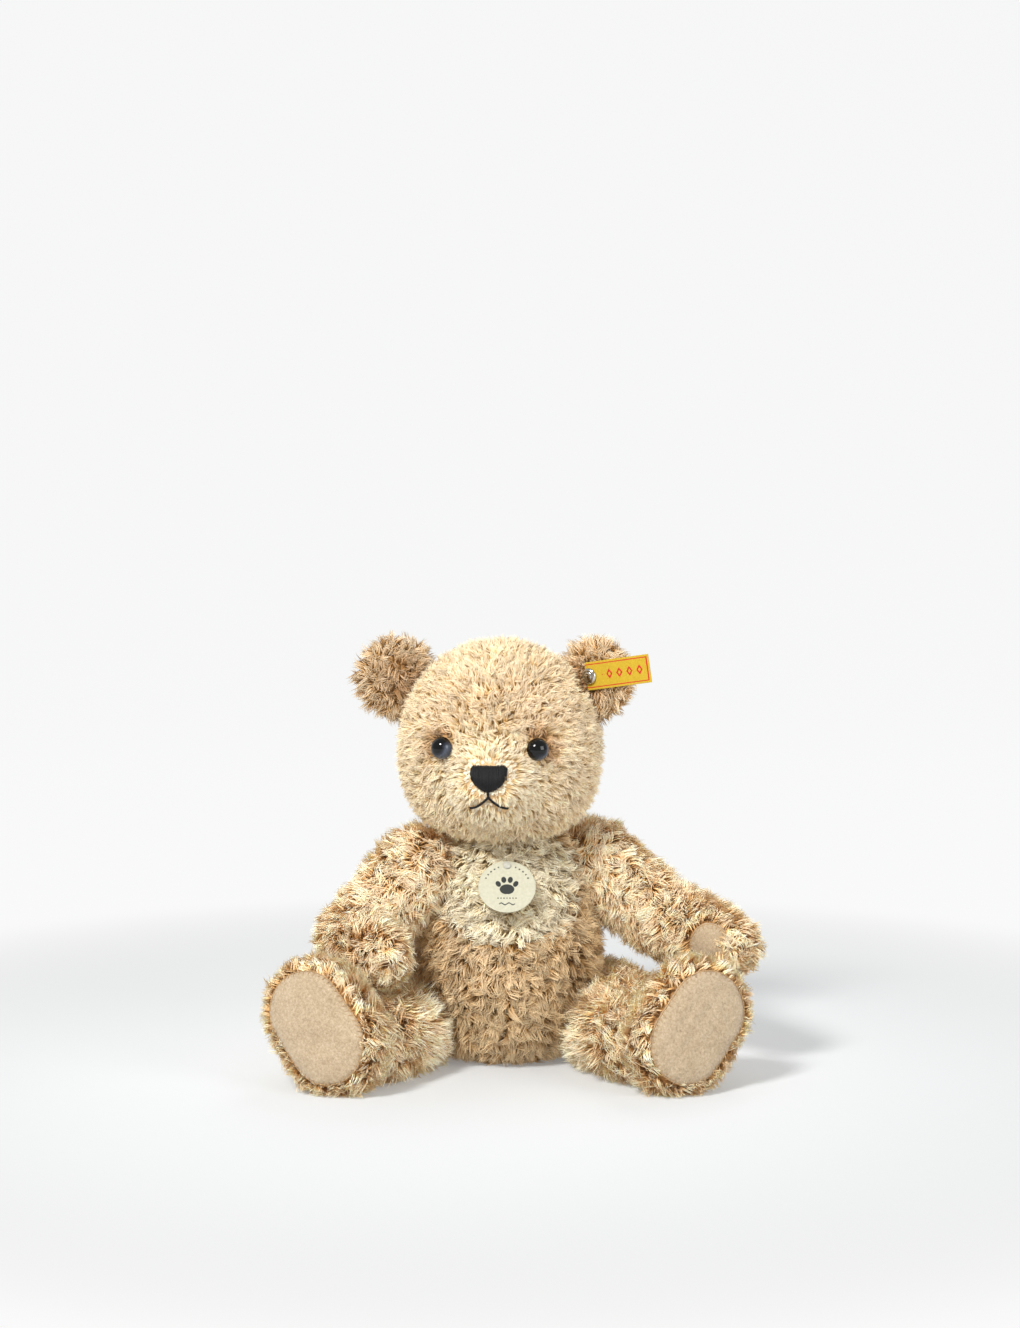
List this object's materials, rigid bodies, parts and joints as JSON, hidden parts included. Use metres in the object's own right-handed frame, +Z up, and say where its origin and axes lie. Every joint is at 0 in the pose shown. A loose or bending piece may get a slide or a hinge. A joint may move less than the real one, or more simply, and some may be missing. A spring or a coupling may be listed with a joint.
{
  "type": "jointed teddy bear",
  "caption": "Sitting plush teddy bear whose head, arms and legs turn on bolted disc joints, with an ear button, ribbon tag and round chest tag.",
  "frame": {"origin": "centre of the flat the torso sits on, at floor level", "axes": "+Z up, the bear faces -Y, its own left side is +X"},
  "size_m": [0.245, 0.154, 0.2155],
  "materials": {
    "plush": "matte",
    "plush_cream": "matte",
    "pad_suede": "matte",
    "stuffing": "matte",
    "seam_thread": "matte",
    "face_thread": "satin",
    "eye": "gloss",
    "washer_plastic": "matte",
    "hardboard": "matte",
    "joint_steel": "satin",
    "button_metal": "gloss",
    "ribbon": "satin",
    "tag_card": "satin",
    "nylon": "satin"
  },
  "bodies": {
    "torso": {"torso_shell": "plush", "torso_stuffing": "stuffing", "chest_bib": "plush_cream", "back_seam": "seam_thread", "tag_fastener": "nylon", "neck_inner_disc": "hardboard", "left_shoulder_inner_disc": "hardboard", "right_shoulder_inner_disc": "hardboard", "left_hip_inner_disc": "hardboard", "right_hip_inner_disc": "hardboard", "joint_washers": "joint_steel"},
    "head": {"head_shell": "plush", "head_stuffing": "stuffing", "left_ear": "plush", "right_ear": "plush", "left_eye": "eye", "right_eye": "eye", "left_eye_washer": "washer_plastic", "right_eye_washer": "washer_plastic", "nose_embroidery": "face_thread", "mouth_stitching": "face_thread", "ear_button": "button_metal", "ear_button_backplate": "joint_steel", "neck_outer_disc": "hardboard", "neck_bolt": "joint_steel", "neck_locknut": "joint_steel"},
    "ear_ribbon": {"ear_tag": "ribbon"},
    "chest_card": {"chest_tag": "tag_card"},
    "left_arm": {"left_arm_shell": "plush", "left_arm_stuffing": "stuffing", "left_paw_pad": "pad_suede", "left_shoulder_outer_disc": "hardboard", "left_shoulder_bolt": "joint_steel", "left_shoulder_locknut": "joint_steel"},
    "right_arm": {"right_arm_shell": "plush", "right_arm_stuffing": "stuffing", "right_paw_pad": "pad_suede", "right_shoulder_outer_disc": "hardboard", "right_shoulder_bolt": "joint_steel", "right_shoulder_locknut": "joint_steel"},
    "left_leg": {"left_leg_shell": "plush", "left_leg_stuffing": "stuffing", "left_foot_pad": "pad_suede", "left_hip_outer_disc": "hardboard", "left_hip_bolt": "joint_steel", "left_hip_locknut": "joint_steel"},
    "right_leg": {"right_leg_shell": "plush", "right_leg_stuffing": "stuffing", "right_foot_pad": "pad_suede", "right_hip_outer_disc": "hardboard", "right_hip_bolt": "joint_steel", "right_hip_locknut": "joint_steel"}
  },
  "joints": [
    {"name": "neck_turn", "type": "hinge", "parent": "torso", "child": "head", "pos_m": [-0.0035, -0.003, 0.117], "axis": [0, 0, 1], "continuous": true},
    {"name": "left_arm_swing", "type": "hinge", "parent": "torso", "child": "left_arm", "pos_m": [0.03205, 0.00857, 0.0954], "axis": [-0.933, -0.25, -0.259], "range_deg": [-150, 80]},
    {"name": "right_arm_swing", "type": "hinge", "parent": "torso", "child": "right_arm", "pos_m": [-0.03205, -0.00857, 0.0954], "axis": [-0.933, -0.25, 0.259], "range_deg": [-8, 85]},
    {"name": "left_leg_swing", "type": "hinge", "parent": "torso", "child": "left_leg", "pos_m": [0.0384, 0.0061, 0.026], "axis": [-0.9566, -0.2563, 0.139], "range_deg": [-100, 6]},
    {"name": "right_leg_swing", "type": "hinge", "parent": "torso", "child": "right_leg", "pos_m": [-0.0384, 0.0061, 0.026], "axis": [-0.9566, 0.2563, -0.139], "range_deg": [-100, 2]},
    {"name": "chest_tag_swivel", "type": "hinge", "parent": "torso", "child": "chest_card", "pos_m": [0, -0.0379, 0.10442], "axis": [0, -0.7986, 0.6018], "range_deg": [-60, 60]},
    {"name": "ear_tag_pivot", "type": "hinge", "parent": "head", "child": "ear_ribbon", "pos_m": [0.04308, -0.00932, 0.1982], "axis": [-0.5519, -0.8339, 0], "range_deg": [-15, 15]}
  ]
}
